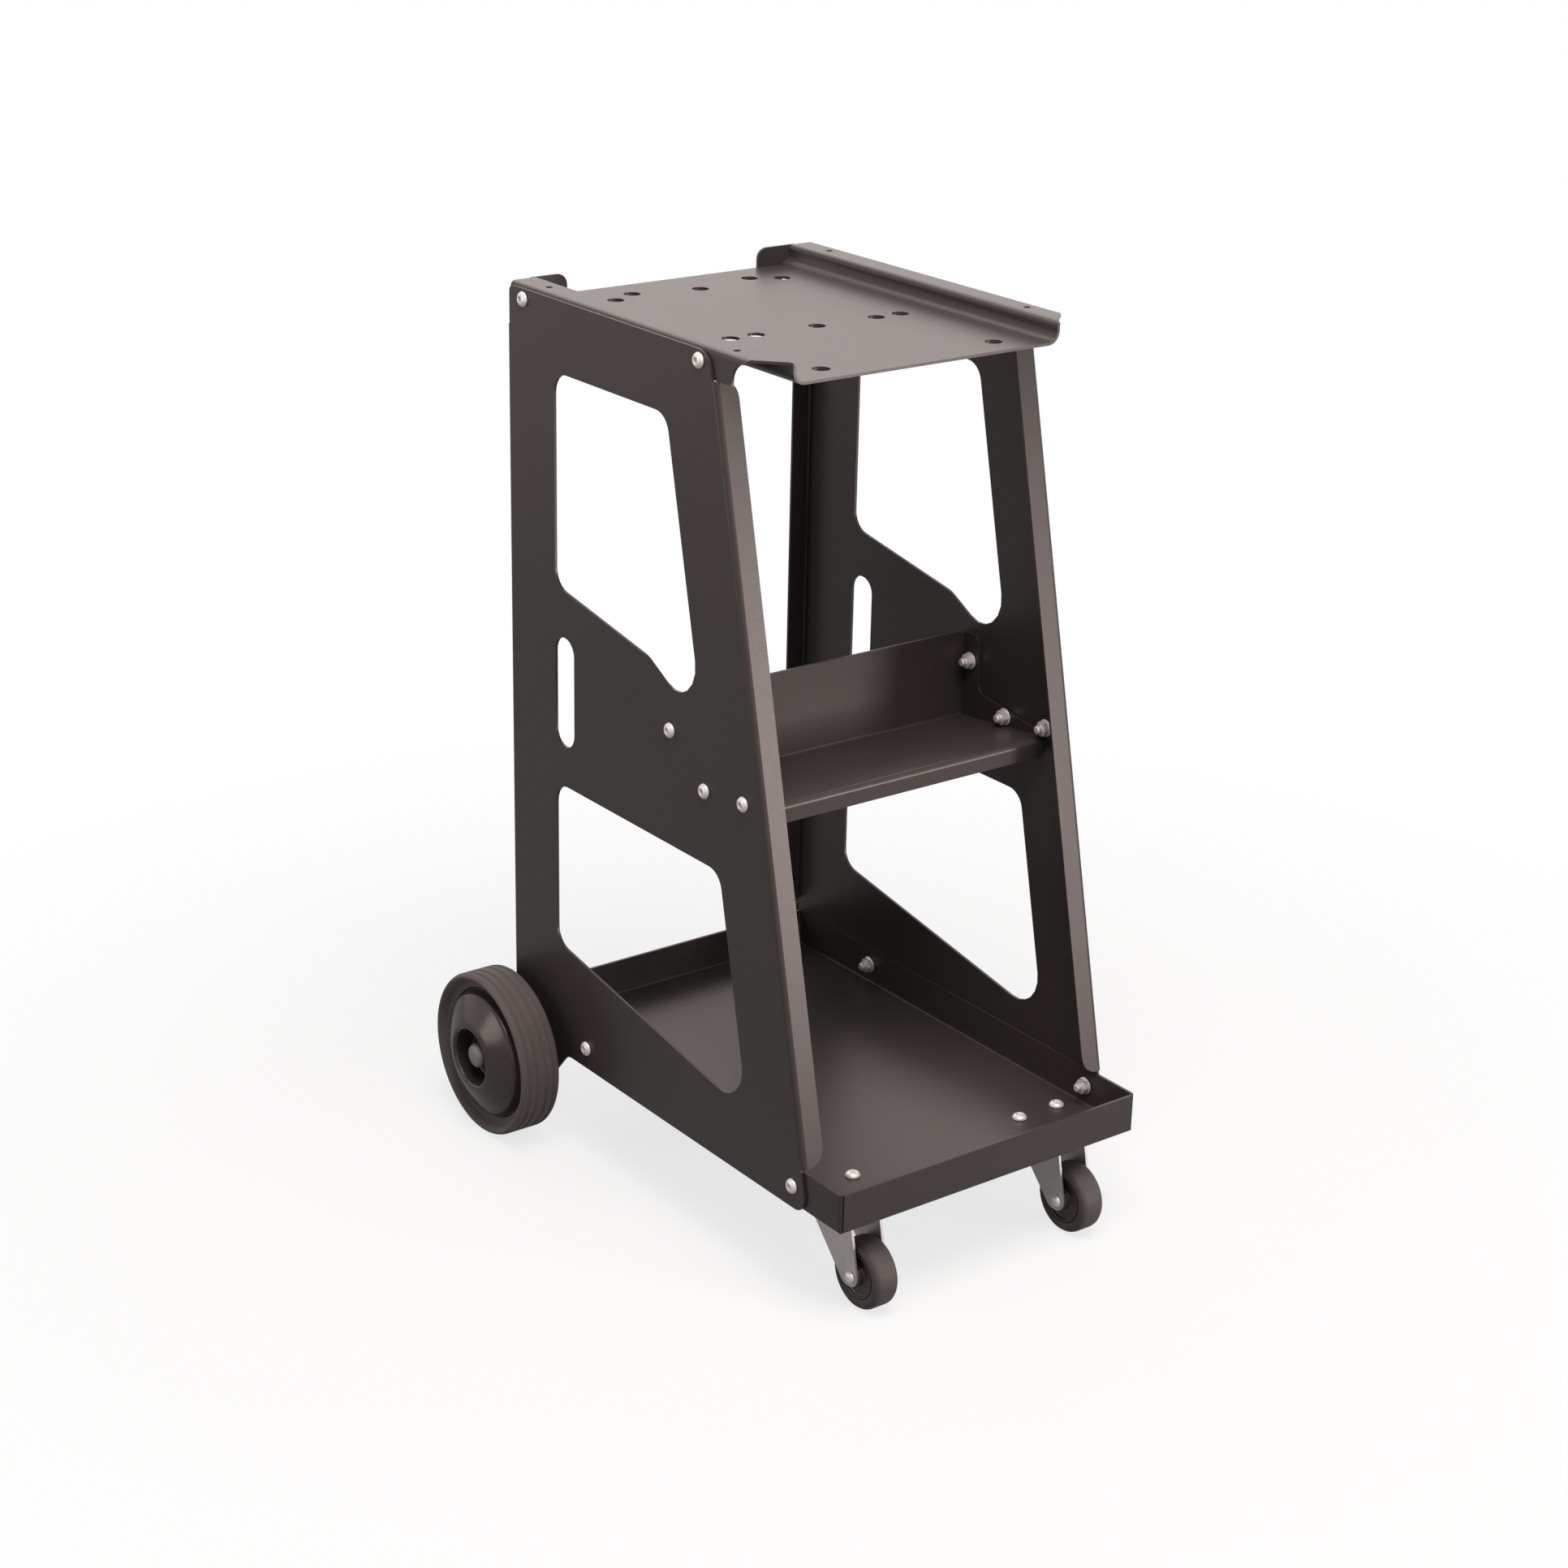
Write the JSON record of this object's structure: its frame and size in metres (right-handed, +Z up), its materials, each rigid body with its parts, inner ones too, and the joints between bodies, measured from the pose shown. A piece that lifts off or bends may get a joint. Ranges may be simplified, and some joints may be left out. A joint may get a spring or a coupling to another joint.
{
  "type": "welding cart",
  "caption": "Upright workshop cart of bent dark sheet steel: windowed side panels, top shelf for a machine, middle shelf, bottom tray, big rear wheels and front swivel casters.",
  "frame": {"origin": "on the floor under the middle of the bounding box", "axes": "+X to the right seen from the front, +Y to the rear, +Z up"},
  "size_m": [0.37, 0.4525, 0.6403],
  "materials": {
    "powder_coat": "satin dark charcoal powder coat",
    "zinc": "bright zinc plating",
    "rubber": "matte dark grey rubber",
    "plastic": "dark grey moulded plastic"
  },
  "bodies": {
    "frame": {"top_shelf": "powder_coat", "middle_shelf": "powder_coat", "bottom_tray": "powder_coat", "rear_axle": "zinc", "left_side_panel": "powder_coat", "left_axle_spacer": "zinc", "left_axle_cap": "zinc", "left_top_shelf_bolt_1": "zinc", "left_top_shelf_bolt_2": "zinc", "left_middle_shelf_bolt_1": "zinc", "left_middle_shelf_bolt_2": "zinc", "left_middle_shelf_bolt_3": "zinc", "left_tray_bolt_1": "zinc", "left_tray_bolt_2": "zinc", "left_caster_plate": "zinc", "left_caster_race": "zinc", "left_caster_kingpin": "zinc", "left_caster_bolt_1": "zinc", "left_caster_bolt_2": "zinc", "left_caster_bolt_3": "zinc", "left_caster_bolt_4": "zinc", "right_side_panel": "powder_coat", "right_axle_spacer": "zinc", "right_axle_cap": "zinc", "right_top_shelf_bolt_1": "zinc", "right_top_shelf_bolt_2": "zinc", "right_middle_shelf_bolt_1": "zinc", "right_middle_shelf_bolt_2": "zinc", "right_middle_shelf_bolt_3": "zinc", "right_tray_bolt_1": "zinc", "right_tray_bolt_2": "zinc", "right_caster_plate": "zinc", "right_caster_race": "zinc", "right_caster_kingpin": "zinc", "right_caster_bolt_1": "zinc", "right_caster_bolt_2": "zinc", "right_caster_bolt_3": "zinc", "right_caster_bolt_4": "zinc"},
    "left_wheel": {"left_wheel_tyre": "rubber", "left_wheel_hub": "plastic", "left_wheel_bush": "plastic"},
    "left_caster": {"left_caster_fork": "zinc", "left_caster_axle": "zinc", "left_caster_axle_nut": "zinc"},
    "left_caster_wheel": {"left_caster_core": "plastic", "left_caster_tyre": "rubber"},
    "right_wheel": {"right_wheel_tyre": "rubber", "right_wheel_hub": "plastic", "right_wheel_bush": "plastic"},
    "right_caster": {"right_caster_fork": "zinc", "right_caster_axle": "zinc", "right_caster_axle_nut": "zinc"},
    "right_caster_wheel": {"right_caster_core": "plastic", "right_caster_tyre": "rubber"}
  },
  "joints": [
    {"name": "left_wheel_spin", "type": "hinge", "parent": "frame", "child": "left_wheel", "pos_m": [-0.161, 0.164, 0.0625], "axis": [1, 0, 0], "continuous": true},
    {"name": "right_wheel_spin", "type": "hinge", "parent": "frame", "child": "right_wheel", "pos_m": [0.161, 0.164, 0.0625], "axis": [1, 0, 0], "continuous": true},
    {"name": "left_caster_swivel", "type": "hinge", "parent": "frame", "child": "left_caster", "pos_m": [-0.093, -0.179, 0.0635], "axis": [0, 0, 1], "continuous": true},
    {"name": "left_caster_roll", "type": "hinge", "parent": "left_caster", "child": "left_caster_wheel", "pos_m": [-0.093, -0.201, 0.025], "axis": [1, 0, 0], "continuous": true},
    {"name": "right_caster_swivel", "type": "hinge", "parent": "frame", "child": "right_caster", "pos_m": [0.093, -0.179, 0.0635], "axis": [0, 0, 1], "continuous": true},
    {"name": "right_caster_roll", "type": "hinge", "parent": "right_caster", "child": "right_caster_wheel", "pos_m": [0.093, -0.201, 0.025], "axis": [1, 0, 0], "continuous": true}
  ]
}
